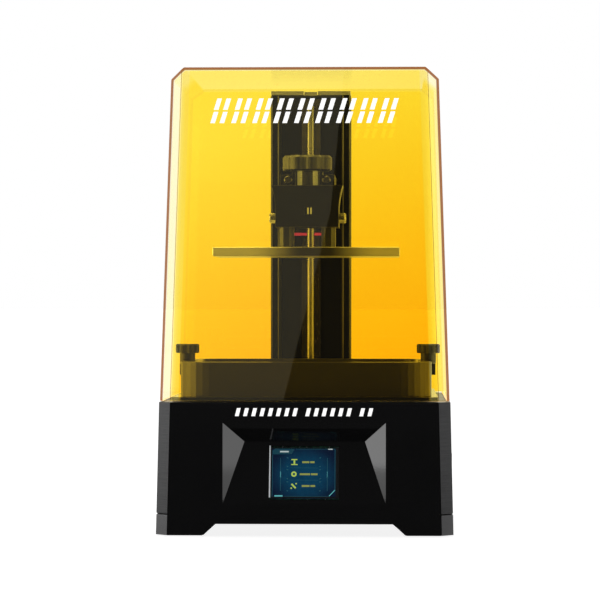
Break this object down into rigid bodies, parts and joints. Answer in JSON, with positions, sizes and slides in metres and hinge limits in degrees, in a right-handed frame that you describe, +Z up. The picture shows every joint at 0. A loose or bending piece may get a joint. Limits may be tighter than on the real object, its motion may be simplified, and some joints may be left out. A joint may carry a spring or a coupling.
{
  "type": "resin printer",
  "caption": "Desktop masked-LCD resin printer: box base with tilted touch screen, screw-driven build plate over a resin vat, and a tapered amber cover that lifts off.",
  "frame": {"origin": "centre of the base's footprint at floor level, at the underside of the rubber feet", "axes": "+X to the right of a person facing the touch screen, +Y away from them, +Z up"},
  "size_m": [0.27, 0.29, 0.425],
  "materials": {
    "tray_plastic": "satin",
    "shell_plastic": "satin",
    "gloss_black": "gloss",
    "foot_rubber": "matte",
    "screen_glass": "polished",
    "display": "gloss",
    "circuit_board": "satin",
    "ribbon": "satin",
    "black_anodised": "satin",
    "black_plastic": "satin",
    "clear_plastic": "gloss",
    "bare_aluminium": "satin",
    "bright_steel": "satin",
    "motor_black": "satin",
    "seal_red": "satin",
    "nut_brass": "satin",
    "amber_acrylic": "gloss"
  },
  "bodies": {
    "base": {"bottom_tray": "tray_plastic", "base_shell": "shell_plastic", "front_panel": "gloss_black", "foot_front_left": "foot_rubber", "foot_front_right": "foot_rubber", "foot_rear_left": "foot_rubber", "foot_rear_right": "foot_rubber", "touch_glass": "screen_glass", "lcd_cover_glass": "screen_glass", "display_panel": "display", "mask_lcd": "display", "display_board": "circuit_board", "uv_led_board": "circuit_board", "main_board": "circuit_board", "display_ribbon": "ribbon", "deck_plate": "black_anodised", "tower_column": "black_anodised", "tower_cap": "black_anodised", "light_housing": "black_plastic", "fan_frame": "black_plastic", "power_switch_frame": "black_plastic", "power_inlet": "black_plastic", "home_sensor": "black_plastic", "tower_back_panel": "black_plastic", "lens_array": "clear_plastic", "heat_sink": "bare_aluminium", "usb_port": "bright_steel", "linear_rail": "bright_steel", "cap_screw_left": "bright_steel", "cap_screw_right": "bright_steel", "motor_body": "motor_black"},
    "lead_screw": {"lead_screw": "bright_steel", "screw_coupler": "bare_aluminium", "motor_shaft": "bright_steel"},
    "carriage": {"rail_block": "bright_steel", "rail_seal_lower": "seal_red", "rail_seal_upper": "seal_red", "z_arm": "black_anodised", "lead_nut": "nut_brass", "arm_screw_left": "bright_steel", "arm_screw_right": "bright_steel", "sensor_flag": "black_plastic"},
    "platform": {"platform_bracket": "black_anodised", "plate_mount": "bare_aluminium", "build_plate": "bare_aluminium", "leveling_screw_front_left": "bright_steel", "leveling_screw_front_right": "bright_steel", "leveling_screw_rear_left": "bright_steel", "leveling_screw_rear_right": "bright_steel"},
    "platform_knob": {"platform_knob": "bare_aluminium"},
    "vat": {"vat_body": "black_anodised", "film_frame": "bright_steel", "release_film": "clear_plastic"},
    "vat_knob_left": {"vat_knob_left": "bare_aluminium"},
    "vat_knob_right": {"vat_knob_right": "bare_aluminium"},
    "cover": {"cover_shell": "amber_acrylic"},
    "fan_rotor": {"fan_rotor": "black_plastic"},
    "power_rocker": {"power_rocker": "black_plastic"}
  },
  "joints": [
    {"name": "z_slide", "type": "slide", "parent": "base", "child": "carriage", "axis": [0, 0, 1], "range_m": [-0.1255, 0.0545]},
    {"name": "lead_screw_turn", "type": "hinge", "parent": "base", "child": "lead_screw", "pos_m": [0, 0.058, 0.27], "axis": [0, 0, 1], "range_deg": [-11305, 4915]},
    {"name": "platform_pull", "type": "slide", "parent": "carriage", "child": "platform", "axis": [0, -1, 0], "range_m": [0, 0.04]},
    {"name": "platform_knob_turn", "type": "hinge", "parent": "platform", "child": "platform_knob", "pos_m": [0, -0.035, 0.342], "axis": [0, 0, 1], "range_deg": [0, 720]},
    {"name": "vat_lift", "type": "slide", "parent": "base", "child": "vat", "axis": [0, 0, 1], "range_m": [0, 0.05]},
    {"name": "vat_knob_left_turn", "type": "hinge", "parent": "vat", "child": "vat_knob_left", "pos_m": [-0.1134, -0.035, 0.168], "axis": [0, 0, 1], "range_deg": [0, 1080]},
    {"name": "vat_knob_right_turn", "type": "hinge", "parent": "vat", "child": "vat_knob_right", "pos_m": [0.1134, -0.035, 0.168], "axis": [0, 0, 1], "range_deg": [0, 1080]},
    {"name": "cover_lift", "type": "slide", "parent": "base", "child": "cover", "axis": [0, 0, 1], "range_m": [0, 0.31]},
    {"name": "fan_spin", "type": "hinge", "parent": "base", "child": "fan_rotor", "pos_m": [-0.06, 0.133, 0.07], "axis": [0, -1, 0], "continuous": true},
    {"name": "power_switch_tilt", "type": "hinge", "parent": "base", "child": "power_rocker", "pos_m": [0.1295, -0.06, 0.06], "axis": [0, 1, 0], "range_deg": [0, 14]}
  ],
  "couplings": [
    {"joint": "lead_screw_turn", "follows": "z_slide", "rad_per_m": 1570.8}
  ]
}
